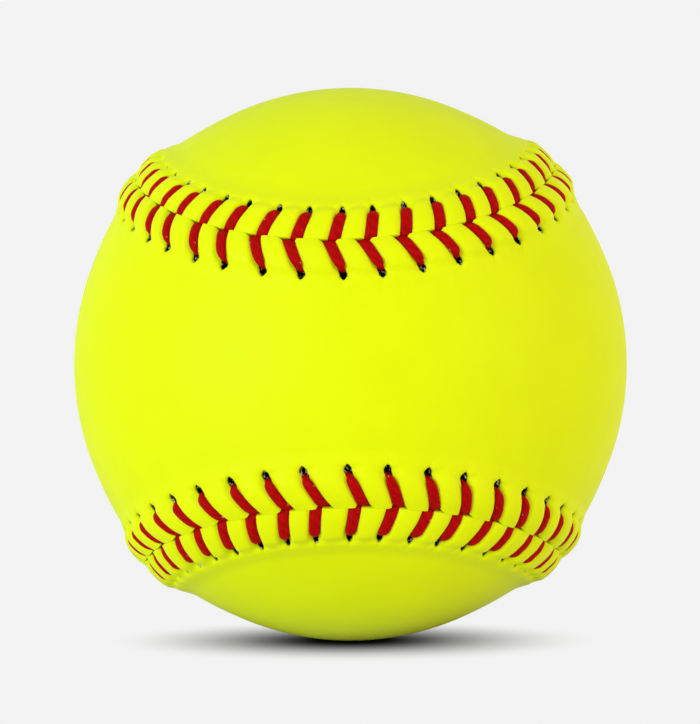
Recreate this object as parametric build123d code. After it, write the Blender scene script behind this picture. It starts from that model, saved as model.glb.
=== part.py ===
from build123d import *
import os
from bisect import bisect_right
from itertools import accumulate
from math import atan2, cos, pi, sin, sqrt, tan

# Softball: a moulded core, two figure-eight leather panels cemented over it, and two strands of
# waxed thread that close the panels' raised seam. Millimetres, origin at the ball's centre, the
# waist of panel A facing -Y with its two lobes along X, the lobes of panel B above and below it.

# Ball
BALL_DIAMETER = 97.0
COVER_THICKNESS = 1.6
CEMENT_THICKNESS = 0.2
CEMENT_GAP = 0.02

# Seam line: a threefold wave draws in each panel's waist, a fivefold wave squares its lobes
SEAM_SWING = 0.306
SEAM_SQUARING = 0.009

# Stitching: pairs of holes along the seam (an even number), the first pair's share of a step from the
# seam's start, and the flat waxed thread in them
STITCH_PAIRS = 98
STITCH_START = 0.25
HOLE_OFFSET = 5.5
ARM_SLANT = 1.7
THREAD_WIDTH = 1.3
THREAD_THICKNESS = 0.9
THREAD_CLEARANCE = 0.2
THREAD_BEND = 0.45
THREAD_TAIL = 1.5

# Raised hem along each panel's edge, pulled down into a seat under each arm of thread
HEM_CROWN = 1.0
HEM_SHOULDER = 0.8
HEM_SKIRT = 4.2
EDGE_ROUND = 0.8
SEAM_GAP = 0.3
SEAT_DEPTH = 0.6

# Samples that the seam line's length is measured on
SEAM_STEPS = 8000

# Values worked out from the sizes above
ball_r = BALL_DIAMETER / 2
inner_r = ball_r - COVER_THICKNESS
core_r = inner_r - CEMENT_THICKNESS
thread_lift = THREAD_CLEARANCE + THREAD_THICKNESS / 2
thread_room = THREAD_THICKNESS + 2 * THREAD_CLEARANCE
hole_half = THREAD_WIDTH / 2 + THREAD_CLEARANCE
strand_step = THREAD_WIDTH + THREAD_CLEARANCE
hem_lift = thread_room + HEM_CROWN
hem_under = hem_lift - COVER_THICKNESS
hem_seat = hem_lift - SEAT_DEPTH
hem_reach = HOLE_OFFSET + HEM_SKIRT
shoulder_x = HOLE_OFFSET - thread_room / 2
crest_x = shoulder_x - HEM_SHOULDER


# Seam line on the ball
def seam_direction(turn):
    # Unit vector from the ball's centre to the seam, after a share of one full round of the seam
    a = 2 * pi * turn
    first = 1 - SEAM_SWING
    x = first * cos(a) + SEAM_SWING * cos(3 * a) - SEAM_SQUARING * cos(5 * a)
    y = first * sin(a) - SEAM_SWING * sin(3 * a) - SEAM_SQUARING * sin(5 * a)
    z = 2 * sqrt(first * SEAM_SWING) * sin(2 * a)
    return Vector((x - y) / sqrt(2), -z, (x + y) / sqrt(2)).normalized()


marks = [seam_direction(i / SEAM_STEPS) for i in range(SEAM_STEPS + 1)]
reaches = list(accumulate(((b - a).length * ball_r for a, b in zip(marks, marks[1:])), initial=0))
seam_length = reaches[-1]
pitch = seam_length / STITCH_PAIRS


def seam_frame(along):
    # Outward normal, direction along the seam and direction across it towards panel B
    along %= seam_length
    i = bisect_right(reaches, along) - 1
    step = marks[i + 1] - marks[i]
    share = (along - reaches[i]) / (reaches[i + 1] - reaches[i])
    normal = (marks[i] + step * share).normalized()
    return normal, step.normalized(), step.cross(normal).normalized()


def seam_point(along, x, y):
    # Point at x across the seam, towards panel B, and y above the ball's surface at the seam
    normal, _, across = seam_frame(along)
    return normal * (ball_r + y) + across * x


def sphere_height(radius, x):
    return sqrt(radius**2 - x**2) - ball_r


# Straight flanks of the hem, outside and underneath, from its crest down to its toe on the ball
toe_top = sphere_height(ball_r, hem_reach)
toe_low = sphere_height(inner_r, hem_reach)
flank = atan2(hem_lift - toe_top, hem_reach - crest_x)
corner_x = crest_x - COVER_THICKNESS * tan(flank / 2)


def flank_top(x):
    return hem_lift + (toe_top - hem_lift) * (x - crest_x) / (hem_reach - crest_x)


def flank_low(x):
    return hem_under + (toe_low - hem_under) * (x - corner_x) / (hem_reach - corner_x)


# Closed loops of edges round panel A, two for each stitch: across its thread seat, then its pillow
def edge_loop(x, y, way, pillow=None, on_sphere=False):
    # Seats widen towards the seam and lean along it, to the place where both strands dive into the gap:
    # ahead where the sewing goes this panel's way, 1, and back where it comes against it, -1.
    # A pillow is the (x, y) place of its crown, and without one the loop is straight or on a sphere.
    lean = ARM_SLANT * max(0, 1 - x / HOLE_OFFSET)
    half = hole_half + strand_step / 2 * (1 - x / HOLE_OFFSET)
    crown_x, crown_y = pillow or (x, y)
    edges = []
    for i in range(STITCH_PAIRS):
        middle = i * pitch + way * (STITCH_START * pitch + lean)
        start = seam_point(middle - half, -x, y)
        end = seam_point(middle + half, -x, y)
        following = seam_point(middle + pitch - half, -x, y)
        crown = seam_point(middle + pitch / 2, -crown_x, crown_y)
        if on_sphere:
            edges.append(Edge.make_three_point_arc(start, seam_point(middle, -x, y), end))
        else:
            edges.append(Edge.make_line(start, end))
        if on_sphere or pillow:
            edges.append(Edge.make_three_point_arc(end, crown, following))
        else:
            edges.append(Edge.make_line(end, following))
    return edges


def sphere_loop(radius, way=1):
    return edge_loop(hem_reach, sphere_height(radius, hem_reach), way, on_sphere=True)


def sphere_patch(radius, loop):
    # Part of a sphere inside panel A, within a closed loop of arcs that lie on it
    whole = (Rot(0, 0, 90) * Sphere(radius)).face()
    pieces = whole.split_by_perimeter(Wire(loop), Keep.BOTH)
    return min(pieces, key=lambda piece: piece.area)


def strip(edges, others):
    return [Face.make_surface_from_curves(a, b) for a, b in zip(edges, others)]


# Leather panel in panel A's place, with its row of stitch holes through the hem's flank
def cover_panel(way):
    hole_x = (HOLE_OFFSET + thread_room / 2, shoulder_x)
    sunk_x = [x - COVER_THICKNESS * sin(flank) for x in hole_x]
    hole_out, hole_in = [edge_loop(x, flank_top(x), way) for x in hole_x]
    sunk_out, sunk_in = [edge_loop(x, flank_low(x), way) for x in sunk_x]

    def brow(inset, drop):
        pillow = (SEAM_GAP / 2 + inset, hem_lift - drop)
        return edge_loop(thread_room / 2 + inset, hem_seat - drop, way, pillow)

    top_toe = sphere_loop(ball_r, way)
    low_toe = sphere_loop(inner_r, way)
    crest = edge_loop(crest_x, hem_seat, way, (crest_x, hem_lift))
    edge_low = edge_loop(thread_room / 2, hem_under, way)
    corner = edge_loop(corner_x, hem_under, way)
    over = [hole_in, crest, brow(EDGE_ROUND, 0), brow(0, EDGE_ROUND), edge_low, corner, sunk_in]

    faces = [sphere_patch(ball_r, top_toe), sphere_patch(inner_r, low_toe)]
    faces += strip(top_toe, hole_out) + strip(low_toe, sunk_out)
    for loop, following in zip(over, over[1:]):
        faces += strip(loop, following)
    # Between the holes, the flank is closed
    faces += strip(hole_out[1::2], hole_in[1::2]) + strip(sunk_out[1::2], sunk_in[1::2])
    # Walls of the holes
    faces += strip(hole_out[::2], sunk_out[::2]) + strip(hole_in[::2], sunk_in[::2])
    for end in (0, 1):
        mouth = [Edge.make_line(a @ end, b @ end) for a, b in zip(hole_out[::2], hole_in[::2])]
        floor = [Edge.make_line(a @ end, b @ end) for a, b in zip(sunk_out[::2], sunk_in[::2])]
        faces += strip(mouth, floor)
    return Solid(Shell(faces))


# Dried cement under a panel's field, up to where the hem lifts off the core
def cement_film():
    top_r = inner_r - CEMENT_GAP
    low_r = core_r + CEMENT_GAP
    top_rim = sphere_loop(top_r)
    low_rim = sphere_loop(low_r)
    patches = [sphere_patch(top_r, top_rim), sphere_patch(low_r, low_rim)]
    return Solid(Shell(patches + strip(top_rim, low_rim)))


# Half turn that lays panel A over panel B, and runs the seam backwards
def to_panel_b(solid):
    return solid.rotate(Axis((0, 0, 0), (1, 0, 1)), 180)


# Thread: each strand comes up a hole, crosses the hem, dives into the gap and runs under the far hem
# to the next hole of the other row
def stitch_corners(i, side):
    # Corners of the strand's centre line at a stitch, side being 1 in panel B's row and -1 in panel A's
    along = (i + STITCH_START) * pitch
    slant = ARM_SLANT - side * strand_step / 2
    bore = COVER_THICKNESS + thread_lift
    mouth_y = flank_top(HOLE_OFFSET)
    arm_y = hem_seat + thread_lift
    run_y = hem_under - thread_lift
    places = [
        (0, HOLE_OFFSET - bore * sin(flank), mouth_y - bore * cos(flank)),
        (0, HOLE_OFFSET + thread_lift * sin(flank), mouth_y + thread_lift * cos(flank)),
        (1 - shoulder_x / HOLE_OFFSET, shoulder_x, flank_top(shoulder_x) + thread_lift),
        (1, 0, arm_y),
        (1, 0, run_y),
    ]
    return [(along + slant * share, seam_point(along + slant * share, side * x, y)) for share, x, y in places]


def thread_strand(first_side):
    corners = []
    for i in range(STITCH_PAIRS):
        corners += stitch_corners(i, first_side if i % 2 == 0 else -first_side)
    # Both ends are tucked away under the hem, on the run from the last stitch to the first
    run = corners[0][1] - corners[-1][1]
    tail = run.normalized() * THREAD_TAIL
    corners.insert(0, (corners[0][0], corners[0][1] - tail))
    corners.append((corners[-1][0], corners[-1][1] + tail))

    # Each bend is cut twice, except the slight one over the hem's shoulder
    path = [corners[0]]
    for before, corner, after in zip(corners, corners[1:], corners[2:]):
        along, point = corner
        back = (before[1] - point).normalized()
        ahead = (after[1] - point).normalized()
        if back.get_angle(ahead) > 135:
            path.append(corner)
        else:
            path += [(along, point + back * THREAD_BEND), (along, point + ahead * THREAD_BEND)]
    path.append(corners[-1])

    # Flattened six-sided sections, square to the path or across the middle of a bend
    legs = [(after[1] - before[1]).normalized() for before, after in zip(path, path[1:])]
    sections = []
    for (along, point), entry, leave in zip(path, legs[:1] + legs, legs + legs[-1:]):
        ahead = (entry + leave).normalized()
        seamwise = seam_frame(along)[1]
        width = (seamwise - ahead * seamwise.dot(ahead)).normalized() * THREAD_WIDTH / 2
        depth = ahead.cross(width).normalized() * THREAD_THICKNESS / 2 / ahead.dot(leave)
        outline = [width, width / 2 + depth, depth - width / 2]
        outline += [-corner for corner in outline]
        ring = [point + corner for corner in outline]
        sections.append([Edge.make_line(a, b) for a, b in zip(ring, ring[1:] + ring[:1])])
    faces = [Face(Wire(sections[0])), Face(Wire(sections[-1]))]
    for section, following in zip(sections, sections[1:]):
        faces += strip(section, following)
    return Solid(Shell(faces))


os.makedirs("parts", exist_ok=True)
nodes = {
    "core": Sphere(core_r),
    "cement_film_a": cement_film(),
    "cement_film_b": to_panel_b(cement_film()),
    "cover_panel_a": cover_panel(1),
    "cover_panel_b": to_panel_b(cover_panel(-1)),
    "thread_strand_a": thread_strand(-1),
    "thread_strand_b": thread_strand(1),
}
for name, solid in nodes.items():
    export_step(solid, f"parts/{name}.step")
    print(f"{name}: {solid.volume:.1f} mm3, valid {solid.is_valid}")
print(f"seam {seam_length:.1f} mm, {STITCH_PAIRS} stitch pairs {pitch:.2f} mm apart")
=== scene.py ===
import bmesh
import bpy
from bisect import bisect_right
from itertools import accumulate
from math import asin, atan2, copysign, cos, exp, pi, sin, sqrt, tan
from mathutils import Matrix, Vector
from mathutils.kdtree import KDTree
from random import Random


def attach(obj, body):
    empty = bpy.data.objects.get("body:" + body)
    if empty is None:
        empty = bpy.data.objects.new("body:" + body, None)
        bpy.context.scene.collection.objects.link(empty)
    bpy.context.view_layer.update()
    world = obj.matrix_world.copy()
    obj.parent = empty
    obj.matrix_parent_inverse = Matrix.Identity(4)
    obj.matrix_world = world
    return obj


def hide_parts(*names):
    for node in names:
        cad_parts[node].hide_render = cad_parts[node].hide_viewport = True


# A softball in its studio light: two leather panels, their raised seam and two strands of thread.
# The ball's sizes are in millimetres up to the moment a vertex is placed; the frame, the floor and
# the lamps are in metres.

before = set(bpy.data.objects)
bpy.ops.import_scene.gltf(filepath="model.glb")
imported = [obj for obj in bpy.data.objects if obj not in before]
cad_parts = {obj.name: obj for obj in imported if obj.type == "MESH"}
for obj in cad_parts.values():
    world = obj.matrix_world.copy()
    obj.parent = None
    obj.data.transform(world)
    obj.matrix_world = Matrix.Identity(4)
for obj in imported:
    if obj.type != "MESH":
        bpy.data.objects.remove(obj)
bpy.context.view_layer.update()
print("frame loaded:", ", ".join(sorted(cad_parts)))

mm = 0.001
weld = 1e-7                       # metres, where a grid closes on itself


def linear(hexColour):
    values = [int(hexColour[i:i + 2], 16) / 255 for i in (1, 3, 5)]
    return [v / 12.92 if v <= 0.04045 else ((v + 0.055) / 1.055) ** 2.4 for v in values] + [1]


def smoothStep(low, high, value):
    t = min(max((value - low) / (high - low), 0), 1)
    return t * t * (3 - 2 * t)


# Seam line on the ball, the same wave as the cut panels have
seam = {
    "ballRadius": 48.5,
    "swing": 0.306,               # how far each waist is drawn in
    "squaring": 0.009,            # how square the lobes are
    "pairs": 98,                  # stitches all the way round
    "samples": 8000,
}


def seamDirection(turn):
    a = 2 * pi * turn
    first = 1 - seam["swing"]
    x = first * cos(a) + seam["swing"] * cos(3 * a) - seam["squaring"] * cos(5 * a)
    y = first * sin(a) - seam["swing"] * sin(3 * a) - seam["squaring"] * sin(5 * a)
    z = 2 * sqrt(first * seam["swing"]) * sin(2 * a)
    return Vector(((x - y) / sqrt(2), -z, (x + y) / sqrt(2))).normalized()


ballRadius = seam["ballRadius"]
marks = [seamDirection(i / seam["samples"]) for i in range(seam["samples"] + 1)]
strides = ((b - a).length * ballRadius for a, b in zip(marks, marks[1:]))
reaches = list(accumulate(strides, initial=0))
seamLength = reaches[-1]
pitch = seamLength / seam["pairs"]
seamTree = KDTree(len(marks))
for i, mark in enumerate(marks):
    seamTree.insert(mark, i)
seamTree.balance()


def seamPlace(along, across, height):
    # across is counted along the ball's surface, towards panel B
    along %= seamLength
    i = min(bisect_right(reaches, along) - 1, seam["samples"] - 1)
    step = marks[i + 1] - marks[i]
    normal = marks[i] + step * ((along - reaches[i]) / (reaches[i + 1] - reaches[i]))
    sideways = step.cross(normal).normalized()
    outward = (normal.normalized() + sideways * tan(across / ballRadius)).normalized()
    return outward * (ballRadius + height)


print("seam", round(seamLength, 1), "mm,", seam["pairs"], "stitches", round(pitch, 2), "mm apart")

# Stitches: where the holes are and how the arms of thread lean, sewn by hand and so a little uneven
stitch = {
    "start": 0.25,                # first pair of holes, in steps from the seam's start
    "holeRow": 5.2,               # from the seam
    "drawn": 0.05,                # share, the rows close up at one waist and open at the other
    "drawnAt": 1 / 8,             # turn round the seam
    "drawnFrom": 6,               # from the seam, where that starts to run out; it ends at the toe
    "lean": 1.7,                  # how far an arm runs ahead on its way to the seam
    "stagger": 0.5,               # the two strands dive side by side
    "holeHalf": (0.43, 0.83),     # along and across the seam
    "holeTaper": 0.16,            # a hole grows narrower away from the seam
    "uneven": 0.28,
    "unevenReach": (7, 10),       # from the seam, where that starts to run out and is gone
}
hand = Random(12)
holeSway = [hand.uniform(-1, 1) * stitch["uneven"] for i in range(seam["pairs"])]
armSway = {side: [hand.uniform(-1, 1) * stitch["uneven"] for i in range(seam["pairs"])]
           for side in (-1, 1)}


def armAlong(i, side, q):
    # where stitch i's arm crosses the line at q from the seam, on its own side
    k = i % seam["pairs"]
    lean = stitch["lean"] - side * stitch["stagger"] + armSway[side][k]
    sway = holeSway[k] * (1 - smoothStep(*stitch["unevenReach"], q))
    return (i + stitch["start"]) * pitch + sway + lean * max(0, 1 - q / stitch["holeRow"])


def sewnPlace(along, side, q, height):
    # a place on the seam's own grid, closed up or opened with the hole rows
    share = stitch["drawn"] * cos(2 * pi * (along / seamLength - stitch["drawnAt"]))
    share *= 1 - smoothStep(stitch["drawnFrom"], hem["toe"], q)
    return seamPlace(along, side * q * (1 - share), height)


# Hem: the raised edge of each panel; heights are over the ball, reaches from the seam
hem = {
    "swell": 0.45,                # the whole panel lifts a little on its way to the seam
    "swellReach": (4, 18),
    "crown": 1.58,                # height over that
    "skirt": {-1: (2.9, 8.4), 1: (3.5, 9.8)},     # where the crown starts to fall and has run out
    "toe": 11.2,                  # the hem's last row
    "valley": (0.34, 1.0),        # depth and half width of the groove along the seam
    "lip": 0.005,                 # half of the slit between the panels
    "lipRound": 0.07,
    "parting": 0.5,               # the slit opens by this for a strand
    "partingHalf": 0.95,
    "seatDepth": 0.57,            # leather pressed in under an arm, at its middle
    "seatMiddle": 2.2,
    "seatBow": (0.85, 0.2),       # how much deeper towards the seam and the hole
    "seatBowMost": 0.8,           # share of the bow at which it levels out
    "seatHalf": 1.1,
    "seatFlat": 6,                # power that makes its floor flat and its sides steep
    "seatReach": (4.5, 6.2),
    "pillow": 0.16,               # leather puffed up between two arms
    "crease": 0.12,               # shallow line along the holes
    "creaseAt": (0.5, 0.8),       # out from the holes, and its half width
    "dimple": 0.42,               # leather drawn in round a hole
    "dimpleAt": 0.1,              # out from the hole
    "dimpleHalf": 1.35,           # along the seam
    "pucker": 0.08,               # small folds that run out from a hole
    "folds": 5,
    "foldRing": (1.5, 0.7),       # from the hole to where they are strongest, and half width
    "holeDepth": 1.3,
    "leather": 1.6,               # thickness
    "under": 0.3,                 # underside of the lip
}


def swell(q):
    return hem["swell"] * (1 - smoothStep(*hem["swellReach"], q))


def hemHeight(d, q, side):
    # leather without its punched hole, d along the seam from the nearest arm's line
    out = q - stitch["holeRow"]
    reach = 1 - smoothStep(*hem["seatReach"], q)
    height = swell(q) + hem["crown"] * (1 - smoothStep(*hem["skirt"][side], q))
    depth, half = hem["valley"]
    height -= depth * exp(-(q / half) ** 2)
    past = q / hem["seatMiddle"] - 1
    bow = hem["seatBow"][0 if past < 0 else 1] * min(past * past, hem["seatBowMost"])
    seat = hem["seatDepth"] * (1 + bow)
    height -= seat * exp(-(d / hem["seatHalf"]) ** hem["seatFlat"]) * reach
    height += hem["pillow"] * sin(min(pi * abs(d) / pitch, pi / 2)) ** 2 * reach
    line, half = hem["creaseAt"]
    height -= hem["crease"] * exp(-((out - line) / half) ** 2)
    height -= hem["dimple"] * exp(-(d / hem["dimpleHalf"]) ** 2 - (out - hem["dimpleAt"]) ** 2)
    ring, half = hem["foldRing"]
    folds = cos(hem["folds"] * atan2(d, out))
    folds *= exp(-((sqrt(d * d + out * out) - ring) / half) ** 2)
    return height - hem["pucker"] * folds


def holeShare(d, q):
    halfAlong, halfAcross = stitch["holeHalf"]
    out = (q - stitch["holeRow"]) / halfAcross
    r = (d / (halfAlong * (1 - stitch["holeTaper"] * min(max(out, -1), 1)))) ** 2 + out * out
    return exp(-r * r)


# Leather panels
panel = {
    "perStitch": 16,              # columns of the mesh to each stitch
    "gather": 0.085,              # how much they crowd round the arms and holes
    "fieldRows": 30,
    "underRows": 8,
    "turns": 5,                   # loops round the lip
    "giveWay": 3,                 # from the seam, rows that move out where the slit opens
    "topRows": (0.75, 1.2, 1.7, 2.25, 2.85, 3.4, 3.85, 4.2, 4.48, 4.7, 4.88, 5.06, 5.24, 5.42,
                5.6, 5.78, 5.96, 6.14, 6.36, 6.65, 7.05, 7.6, 8.2, 8.9, 9.7, 10.45),
    "underside": ((9.4, -1.5), (7.0, -1.4), (5.2, -1.25), (3.6, 0.1), (1.0, 0.35)),
}


def columnPlace(column, side, q):
    # along the seam, and how far that is from the nearest arm
    i, k = divmod(column, panel["perStitch"])
    turn = k / panel["perStitch"]
    turn -= panel["gather"] * sin(2 * pi * turn)
    here, ahead = armAlong(i, side, q), armAlong(i + 1, side, q)
    along = here + (ahead - here) * turn
    return along, along - (here if turn <= 0.5 else ahead)


def lattice(columns, rows):
    # a flat grid that remembers each vertex's column and row
    bm = bmesh.new()
    column = bm.verts.layers.int.new("column")
    row = bm.verts.layers.int.new("row")
    bmesh.ops.create_grid(bm, x_segments=columns, y_segments=rows, size=1)
    for k, v in enumerate(bm.verts):
        v[row], v[column] = divmod(k, columns + 1)
    return bm, column, row


def fillField(bm, rim, tip, rows, radius, lift):
    # rungs across the panel from one side of a lobe tip to the other, then rounded to the ball
    half = len(rim) // 2
    left = [rim[(tip + k) % len(rim)] for k in range(1, half)]
    right = [rim[(tip - k) % len(rim)] for k in range(1, half)]
    edges = [bm.edges.get(pair) for rail in (left, right) for pair in zip(rail, rail[1:])]
    rungs = bmesh.ops.bridge_loops(bm, edges=edges)["edges"]
    for end, at in ((0, tip), (-1, tip + half)):
        bmesh.ops.contextual_create(bm, geom=[rim[at % len(rim)], left[end], right[end]])
    cut = bmesh.ops.subdivide_edges(bm, edges=rungs, cuts=rows, use_grid_fill=True)
    for v in cut["geom_inner"]:
        if isinstance(v, bmesh.types.BMVert):
            normal = v.co.normalized()
            away = 2 * asin(seamTree.find(normal)[2] / 2) * ballRadius
            v.co = normal * (radius + lift * swell(away)) * mm


def meshObject(bm, name):
    mesh = bpy.data.meshes.new(name)
    bm.to_mesh(mesh)
    bm.free()
    made = bpy.data.objects.new(name, mesh)
    bpy.context.scene.collection.objects.link(made)
    return made


def finishPiece(bm, name, node):
    bmesh.ops.recalc_face_normals(bm, faces=bm.faces)
    for face in bm.faces:
        face.smooth = True
    piece = meshObject(bm, name)
    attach(piece, "root")
    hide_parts(node)
    print(name, "has", len(piece.data.polygons), "faces")
    return piece


def leatherPanel(name, node, side, tipTurn):
    # rows of the grid run from the toe under the hem, round the lip and back over the top
    columns = panel["perStitch"] * seam["pairs"]
    turns = panel["turns"]
    low = len(panel["underside"]) + 1
    rows = low + 1 + turns + len(panel["topRows"])
    bm, column, row = lattice(columns, rows)
    pit = bm.verts.layers.float.new("pit")
    for v in bm.verts:
        j = v[row]
        strandAway = columnPlace(v[column], side, 0)[1]
        lip = hem["lip"] + hem["parting"] * exp(-(strandAway / hem["partingHalf"]) ** 4)
        if j == 0:
            q, height = hem["toe"], -hem["leather"]
        elif j < low:
            q, height = panel["underside"][j - 1]
        elif j == low:
            q, height = lip, hem["under"]
        elif j <= low + turns:
            angle = pi / 2 * (j - low - 1) / (turns - 1)
            q = lip + hem["lipRound"] * (1 - cos(angle))
            height = hemHeight(columnPlace(v[column], side, q)[1], q, side)
            height -= hem["lipRound"] * (1 - sin(angle))
        elif j < rows:
            q = panel["topRows"][j - low - turns - 1]
            q += lip * max(0, 1 - q / panel["giveWay"])
            d = columnPlace(v[column], side, q)[1]
            v[pit] = holeShare(d, q)
            height = hemHeight(d, q, side) - hem["holeDepth"] * v[pit]
        else:
            q, height = hem["toe"], swell(hem["toe"])
        v.co = sewnPlace(columnPlace(v[column], side, q)[0], side, q, height) * mm
    bmesh.ops.remove_doubles(bm, verts=bm.verts, dist=weld)
    tip = round((tipTurn * seam["pairs"] - stitch["start"]) * panel["perStitch"])
    for rimRow, rimRows, radius, lift in ((0, panel["underRows"], ballRadius - hem["leather"], 0),
                                          (rows, panel["fieldRows"], ballRadius, 1)):
        rim = sorted((v for v in bm.verts if v[row] == rimRow), key=lambda v: v[column] % columns)
        fillField(bm, rim, tip, rimRows, radius, lift)
    return finishPiece(bm, name, node)


panelA = leatherPanel("leather_panel_a", "cover_panel_a", -1, 3 / 8)
panelB = leatherPanel("leather_panel_b", "cover_panel_b", 1, 1 / 8)

# Thread: up a hole, over the hem in its seat, down the slit and under the far hem to the next hole
thread = {
    "width": 1.85,                # along the seam, where it lies flat
    "thickness": 0.8,
    "fullness": 0.75,             # power; under 1 the tube is fuller than an ellipse
    "sides": 12,
    "samples": 3,                 # rings between two places on the route
    "headingStep": 0.1,           # to either side, to find the seam's heading
    # the route: q from the seam, height over the ball, width and thickness shares
    "rise": ((3.8, -0.9, 0.8, 1), (4.5, 0.1, 0.6, 0.8)),
    "dive": ((0.2, 0.78, 1.1, 0.72), (0.18, -0.1, 0.9, 0.72)),
    # the same between the two, with the height over the leather
    "arm": ((4.42, 0.14, 0.6, 0.75), (4.1, 0.2, 0.84, 0.9), (3.6, 0.2, 0.95, 1), (2.8, 0.2, 1, 1),
            (2.0, 0.2, 1, 1), (1.2, 0.2, 1.04, 1), (0.48, 0.18, 1.14, 0.95)),
}


def strandRoute(firstSide):
    # place, along the seam, width share, thickness share
    route = []
    for i in range(seam["pairs"]):
        side = firstSide if i % 2 == 0 else -firstSide
        hole, slit = armAlong(i, side, stitch["holeRow"]), armAlong(i, side, 0)
        for q, height, wide, thick in thread["rise"]:
            route.append((sewnPlace(hole, side, q, height), hole, wide, thick))
        for q, over, wide, thick in thread["arm"]:
            along = armAlong(i, side, q)
            height = hemHeight(0, q, side) + over
            route.append((sewnPlace(along, side, q, height), along, wide, thick))
        for q, height, wide, thick in thread["dive"]:
            route.append((sewnPlace(slit, side, q, height), slit, wide, thick))
    return route


def curveShares(t):
    # weights of four places in a row, for a smooth curve from the second to the third
    return (-0.5 * t + t * t - 0.5 * t ** 3, 1 - 2.5 * t * t + 1.5 * t ** 3,
            0.5 * t + 2 * t * t - 1.5 * t ** 3, -0.5 * t * t + 0.5 * t ** 3)


def strandRings(places):
    # the middle of each ring, then its place along the seam and its width and thickness shares
    rings = []
    for stops in zip(places, places[1:], places[2:], places[3:]):
        for k in range(thread["samples"]):
            t = k / thread["samples"]
            parts = (stop[0] * share for stop, share in zip(stops, curveShares(t)))
            between = [a + (b - a) * t for a, b in zip(stops[1][1:], stops[2][1:])]
            rings.append([sum(parts, Vector())] + between)
    return rings


def threadStrand(name, node, firstSide):
    # a flattened tube along the route
    rings = strandRings(strandRoute(firstSide))
    bm, column, row = lattice(thread["sides"], len(rings) - 1)
    uv = bm.loops.layers.uv.new("thread")
    strides = ((b[0] - a[0]).length for a, b in zip(rings, rings[1:]))
    travel = list(accumulate(strides, initial=0))
    for face in bm.faces:
        for loop in face.loops:
            loop[uv].uv = (travel[loop.vert[row]], loop.vert[column] / thread["sides"])
    frames = []
    reach = thread["headingStep"]
    for k, (point, along, wideShare, thickShare) in enumerate(rings):
        ahead = (rings[min(k + 1, len(rings) - 1)][0] - rings[max(k - 1, 0)][0]).normalized()
        wide = (seamPlace(along + reach, 0, 0) - seamPlace(along - reach, 0, 0)).normalized()
        thick = ahead.cross(wide).normalized()
        frames.append((point, wide * wideShare * thread["width"] / 2,
                       thick * thickShare * thread["thickness"] / 2))
    for v in bm.verts:
        point, wide, thick = frames[v[row]]
        angle = 2 * pi * v[column] / thread["sides"]
        flat = copysign(abs(cos(angle)) ** thread["fullness"], cos(angle))
        v.co = (point + wide * flat + thick * sin(angle)) * mm
    bmesh.ops.remove_doubles(bm, verts=bm.verts, dist=weld)
    bmesh.ops.holes_fill(bm, edges=[e for e in bm.edges if e.is_boundary])
    return finishPiece(bm, name, node)


threadA = threadStrand("red_thread_a", "thread_strand_a", -1)
threadB = threadStrand("red_thread_b", "thread_strand_b", 1)


# Materials: a socket is linked to an input, a plain value is set on it
def setInputs(tree, node, inputs):
    for name, value in inputs.items():
        if isinstance(value, bpy.types.NodeSocket):
            tree.links.new(value, node.inputs[name])
        else:
            node.inputs[name].default_value = value


def addNode(tree, kind, inputs, **settings):
    node = tree.nodes.new(kind)
    for name, value in settings.items():
        setattr(node, name, value)
    setInputs(tree, node, inputs)
    return node


def objectPlace(tree):
    return addNode(tree, "ShaderNodeTexCoord", {}).outputs["Object"]


def noise(tree, place, scale, detail):
    inputs = {"Vector": place, "Scale": scale, "Detail": detail}
    return addNode(tree, "ShaderNodeTexNoise", inputs).outputs["Fac"]


def stretched(tree, place, scale):
    inputs = {"Vector": place, "Scale": (*scale, 1)}
    return addNode(tree, "ShaderNodeMapping", inputs).outputs["Vector"]


def spread(tree, value, source, target=(0, 1), **settings):
    # from one range to another, held at its ends
    inputs = {"Value": value, "From Min": source[0], "From Max": source[1],
              "To Min": target[0], "To Max": target[1]}
    return addNode(tree, "ShaderNodeMapRange", inputs, **settings).outputs["Result"]


def combine(tree, operation, first, second):
    inputs = {0: first, 1: second}
    return addNode(tree, "ShaderNodeMath", inputs, operation=operation).outputs["Value"]


def blend(tree, share, first, second):
    # from the first colour to the second, each a hex value or a socket
    a, b = (linear(colour) if isinstance(colour, str) else colour for colour in (first, second))
    inputs = {"Factor": share, "A": a, "B": b}
    return addNode(tree, "ShaderNodeMix", inputs, data_type="RGBA").outputs["Result"]


def relief(tree, height, strength, depth):
    inputs = {"Height": height, "Strength": strength, "Distance": depth * mm}
    return addNode(tree, "ShaderNodeBump", inputs).outputs["Normal"]


def newMaterial(name):
    material = bpy.data.materials.new(name)
    material.use_nodes = True
    tree = material.node_tree
    return material, tree, tree.nodes["Principled BSDF"]


# Optic yellow cowhide with a pigmented, ironed finish: even and nearly matt over a fine grain.
# The punched holes are painted dark inside as painted shade, and a few pale specks at their rim are
# painted glints.
leather = {
    "tones": ("#DAEC00", "#E2F500"),
    "mottle": 9,                  # size of a patch of either tone
    # painted shade: the colour the leather turns down inside a punched hole
    "inside": "#080703",
    "insideAt": (0.06, 0.25),     # share of a hole's depth where the painted shade turns the leather dark
    # painted glints: pale specks at the rim of a punched hole
    "rimGlintTone": "#F2EEDF",
    "rimGlintSize": 0.5,
    "rimGlintAt": (0.58, 0.63),      # the higher, the fewer painted glints
    "rimAt": (0.1, 0.25),         # share of a hole's depth where the painted glints start to show
    "grain": 0.9,                 # size of a cell of the grain
    "pores": 0.5,
    "strength": 0.12,             # of the relief
    "depth": 0.12,
    "roughness": (0.46, 0.6),
    "specular": 0.09,
}


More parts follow.
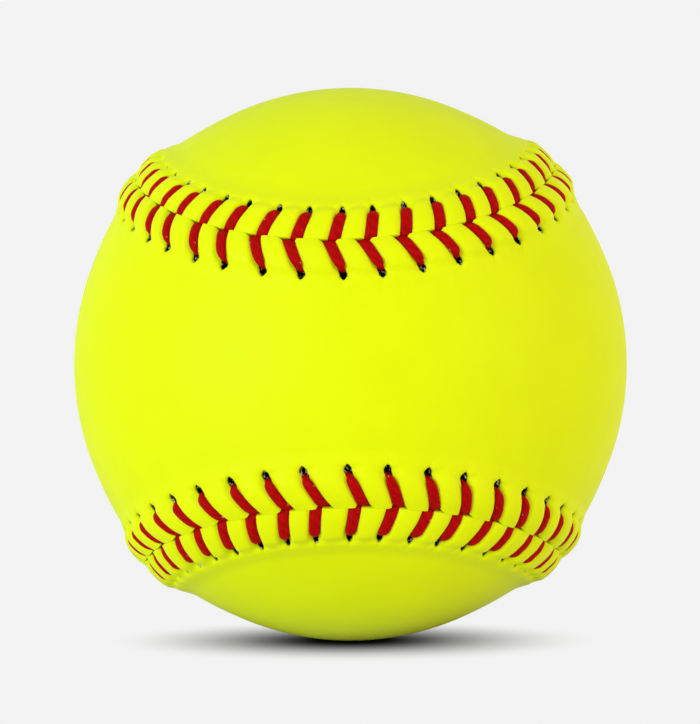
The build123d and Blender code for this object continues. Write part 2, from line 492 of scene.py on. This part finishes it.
def leatherMaterial():
    material, tree, shader = newMaterial("pigmented_leather")
    place = objectPlace(tree)
    pit = addNode(tree, "ShaderNodeAttribute", {}, attribute_name="pit").outputs["Fac"]
    mottle = noise(tree, place, 1 / (leather["mottle"] * mm), 4)
    colour = blend(tree, mottle, *leather["tones"])
    # painted shade: the leather goes near black down inside each punched hole
    paintedHoleShade = blend(tree, spread(tree, pit, leather["insideAt"]), colour, leather["inside"])
    # painted glints: pale specks round the rim of a hole
    rimGlintSpots = noise(tree, place, 1 / (leather["rimGlintSize"] * mm), 2)
    paintedRimGlints = combine(tree, "MULTIPLY", spread(tree, rimGlintSpots, leather["rimGlintAt"]),
                   spread(tree, pit, leather["rimAt"]))
    cells = {"Vector": place, "Scale": 1 / (leather["grain"] * mm)}
    grain = addNode(tree, "ShaderNodeTexVoronoi", cells, feature="DISTANCE_TO_EDGE")
    pores = noise(tree, place, 1 / (leather["pores"] * mm), 3)
    height = combine(tree, "ADD", grain.outputs["Distance"], pores)
    setInputs(tree, shader, {
        "Base Color": blend(tree, paintedRimGlints, paintedHoleShade, leather["rimGlintTone"]),
        "Normal": relief(tree, height, leather["strength"], leather["depth"]),
        "Roughness": spread(tree, pores, (0, 1), leather["roughness"]),
        "Specular IOR Level": leather["specular"],
    })
    return material


# Waxed cotton twist: pressed flat, its fibres lengthways, a soft shade where the plies turn and a
# few painted glints on its wax. Patterns lie on the thread's own map, in mm along it and in turns
# round it.
twist = {
    "tones": ("#880003", "#B60002"),
    "tonesAt": (0.22, 0.64),
    "plies": (1 / 2.4, 2),        # to a mm and to a turn, as the two below
    "fibres": (0.9, 26),
    "waxGlintSpots": (1.1, 4),
    "plyShare": 0.22,             # of plies over fibres
    # painted glints: pale pink spots where light would catch beads of wax
    "paintedWaxGlint": "#F2C6BC",
    "paintedWaxGlintAt": (0.73, 0.79),        # the higher, the fewer painted glints
    "paintedWaxGlintMost": 0.7,
    "strength": 0.35,             # of the relief
    "depth": 0.15,
    "roughness": 0.65,
    "specular": 0.06,
}


def threadMaterial():
    material, tree, shader = newMaterial("waxed_cotton_thread")
    place = addNode(tree, "ShaderNodeUVMap", {}, uv_map="thread").outputs["UV"]
    wave = {"Vector": stretched(tree, place, twist["plies"]), "Scale": 1, "Distortion": 3,
            "Detail": 2, "Detail Scale": 3}
    plies = addNode(tree, "ShaderNodeTexWave", wave, bands_direction="DIAGONAL").outputs["Fac"]
    fibres = noise(tree, stretched(tree, place, twist["fibres"]), 1, 4)
    lay = addNode(tree, "ShaderNodeMix", {"Factor": twist["plyShare"], "A": fibres, "B": plies})
    colour = addNode(tree, "ShaderNodeValToRGB", {"Fac": lay.outputs["Result"]})
    for stop, tone, at in zip(colour.color_ramp.elements, twist["tones"], twist["tonesAt"]):
        stop.color = linear(tone)
        stop.position = at
    # painted glints: a few pale pink spots where light would catch the wax
    waxGlintSpots = noise(tree, stretched(tree, place, twist["waxGlintSpots"]), 1, 1)
    paintedWaxGlint = spread(tree, waxGlintSpots, twist["paintedWaxGlintAt"], (0, twist["paintedWaxGlintMost"]))
    setInputs(tree, shader, {
        "Base Color": blend(tree, paintedWaxGlint, colour.outputs["Color"], twist["paintedWaxGlint"]),
        "Normal": relief(tree, lay.outputs["Result"], twist["strength"], twist["depth"]),
        "Roughness": twist["roughness"],
        "Specular IOR Level": twist["specular"],
    })
    return material


# Moulded polyurethane foam: dull and cream, with fine closed cells
foam = {
    "tones": ("#DDD3BA", "#C9BD9F"),
    "cell": 1.2,
    "strength": 0.3,              # of the relief
    "depth": 0.2,
    "roughness": 0.8,
}


def foamMaterial():
    material, tree, shader = newMaterial("moulded_polyurethane")
    packed = {"Vector": objectPlace(tree), "Scale": 1 / (foam["cell"] * mm)}
    cells = addNode(tree, "ShaderNodeTexVoronoi", packed).outputs["Distance"]
    setInputs(tree, shader, {
        "Base Color": blend(tree, cells, *foam["tones"]),
        "Normal": relief(tree, cells, foam["strength"], foam["depth"]),
        "Roughness": foam["roughness"],
    })
    return material


# Dried rubber cement: amber and patchy where it was brushed on
cement = {
    "tones": ("#C9A25E", "#E0C68E"),
    "patch": 6,
    "roughness": (0.35, 0.7),
}


def cementMaterial():
    material, tree, shader = newMaterial("dried_rubber_cement")
    brushed = noise(tree, objectPlace(tree), 1 / (cement["patch"] * mm), 5)
    setInputs(tree, shader, {
        "Base Color": blend(tree, brushed, *cement["tones"]),
        "Roughness": spread(tree, brushed, (0, 1), cement["roughness"]),
    })
    return material


def wear(material, *pieces):
    for piece in pieces:
        piece.data.materials.clear()
        piece.data.materials.append(material)


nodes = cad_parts
wear(leatherMaterial(), panelA, panelB)
wear(threadMaterial(), threadA, threadB)
wear(foamMaterial(), nodes["core"])
wear(cementMaterial(), nodes["cement_film_a"], nodes["cement_film_b"])
print("materials on")

# Floor: pale paper under the ball that runs out into the pale background, with a painted shadow
# round the ball's foot
studio = {
    "paper": "#F3F3F3",
    "matt": "#E8E8E8",            # paper as the ball sees it
    "paintedShadow": "#2A2A2A",           # painted shadow: the paper's colour darkened round the ball's foot
    "floorHalf": 2.0,
    "paintedShadowAt": (-0.001, -0.0048),     # middle of the painted shadow, a little before the ball's foot
    "paintedShadowTurn": -0.08,
    "fade": (0.0056, 0.045),      # from there, where the lamp-lit paper with its painted shadow starts to give way to plain paper and is gone
    "paintedShadowReach": (0.012, 0.066),     # the same for the painted shadow in the paper's colour, which also dims the light the paper throws back
    "depthways": 2.6,             # the painted shadow is this much shorter from front to back
    "ambient": 0.6,
    "ambientTint": "#FFFFFF",
}


def seenRays(tree):
    # rays that show the background itself, in the picture and in reflections
    rays = addNode(tree, "ShaderNodeLightPath", {}).outputs
    mirrored = combine(tree, "MAXIMUM", rays["Is Glossy Ray"], rays["Is Transmission Ray"])
    return combine(tree, "MAXIMUM", rays["Is Camera Ray"], mirrored)


def paperFloor():
    bm = bmesh.new()
    bmesh.ops.create_grid(bm, x_segments=1, y_segments=1, size=studio["floorHalf"])
    bmesh.ops.translate(bm, verts=bm.verts, vec=(0, 0, -ballRadius * mm))
    floor = meshObject(bm, "paper_floor")
    material, tree, shader = newMaterial("matt_paper_painted_shadow")
    shadow = {"Vector": objectPlace(tree), "Scale": (1, 1 / studio["depthways"], 1),
              "Location": (*studio["paintedShadowAt"], -ballRadius * mm),
              "Rotation": (0, 0, studio["paintedShadowTurn"])}
    foot = addNode(tree, "ShaderNodeMapping", shadow, vector_type="TEXTURE").outputs["Vector"]
    away = addNode(tree, "ShaderNodeVectorMath", {0: foot}, operation="LENGTH").outputs["Value"]
    # in the picture, the lamp-lit paper near the foot, with its real shadow and its painted shadow,
    # gives way to plain paper
    share = spread(tree, away, studio["fade"], interpolation_type="SMOOTHSTEP")
    # painted shadow: the paper's colour goes from dark at the ball's foot to matt further out, for
    # every ray
    outsidePaintedShadow = spread(tree, away, studio["paintedShadowReach"])
    setInputs(tree, shader, {
        "Base Color": blend(tree, outsidePaintedShadow, studio["paintedShadow"], studio["matt"]),
        "Roughness": 1,
        "Specular IOR Level": 0,
    })
    plain = addNode(tree, "ShaderNodeEmission", {"Color": linear(studio["paper"])})
    shown = combine(tree, "MULTIPLY", share, seenRays(tree))
    mix = addNode(tree, "ShaderNodeMixShader", {"Fac": shown, 1: shader.outputs["BSDF"],
                                                2: plain.outputs["Emission"]})
    setInputs(tree, tree.nodes["Material Output"], {"Surface": mix.outputs["Shader"]})
    wear(material, floor)


def studioWorld():
    world = bpy.data.worlds.new("studio")
    bpy.context.scene.world = world
    world.use_nodes = True
    tree = world.node_tree
    seen = addNode(tree, "ShaderNodeBackground", {"Color": linear(studio["paper"])})
    light = addNode(tree, "ShaderNodeBackground", {"Color": linear(studio["ambientTint"]),
                                                   "Strength": studio["ambient"]})
    mix = addNode(tree, "ShaderNodeMixShader", {"Fac": seenRays(tree),
                                                1: light.outputs["Background"],
                                                2: seen.outputs["Background"]})
    setInputs(tree, tree.nodes["World Output"], {"Surface": mix.outputs["Shader"]})


# Soft boxes: where they stand, how large and bright they are, and their tint
lamps = {
    "key": {"at": (-0.7, -0.72, 0.06), "size": 0.45, "power": 6.5, "tint": "#FFFFFF"},
    "overhead": {"at": (-0.05, -0.25, 0.9), "size": 0.8, "power": 0.3, "tint": "#FFFFFF"},
    "fill": {"at": (0.95, -0.5, 0.1), "size": 0.5, "power": 5.1, "tint": "#FFE0B4"},
}


def softBox(name):
    data = bpy.data.lights.new(name, "AREA")
    data.shape = "DISK"
    data.size = lamps[name]["size"]
    data.energy = lamps[name]["power"]
    data.color = linear(lamps[name]["tint"])[:3]
    lamp = bpy.data.objects.new(name, data)
    lamp.location = lamps[name]["at"]
    lamp.rotation_euler = lamp.location.to_track_quat("Z", "Y").to_euler()
    bpy.context.scene.collection.objects.link(lamp)


paperFloor()
studioWorld()
for lampName in lamps:
    softBox(lampName)

# Camera: straight on and a little above the ball's middle, fitted to the ball's outline and seam
lens = {
    "distance": 264.0,
    "yaw": -0.0205,
    "pitch": 0.0307,
    "roll": -0.0216,
    "film": 36,
    "pictureHeight": 724,         # in dots, as the two below
    "focal": 1479,
    "centre": (0.5, 2.2),
    "nearest": 10,
}


def studioCamera():
    turn = Matrix.Rotation(lens["roll"], 3, "Y") @ Matrix.Rotation(lens["pitch"], 3, "X")
    turn = (turn @ Matrix.Rotation(lens["yaw"], 3, "Z")).transposed()
    right, forward, up = (turn @ Vector(axis) for axis in ((1, 0, 0), (0, 1, 0), (0, 0, 1)))
    data = bpy.data.cameras.new("camera")
    data.sensor_width = lens["film"]
    data.lens = lens["film"] * (lens["focal"] / lens["pictureHeight"])
    data.shift_x = -lens["centre"][0] / lens["pictureHeight"]
    data.shift_y = lens["centre"][1] / lens["pictureHeight"]
    data.clip_start = lens["nearest"] * mm
    camera = bpy.data.objects.new("camera", data)
    camera.matrix_world = Matrix.Translation(forward * -lens["distance"] * mm) @ Matrix(
        (right, up, -forward)).transposed().to_4x4()
    bpy.context.scene.collection.objects.link(camera)
    bpy.context.scene.camera = camera


studioCamera()
bpy.context.scene.view_settings.view_transform = "Standard"
print("studio ready")
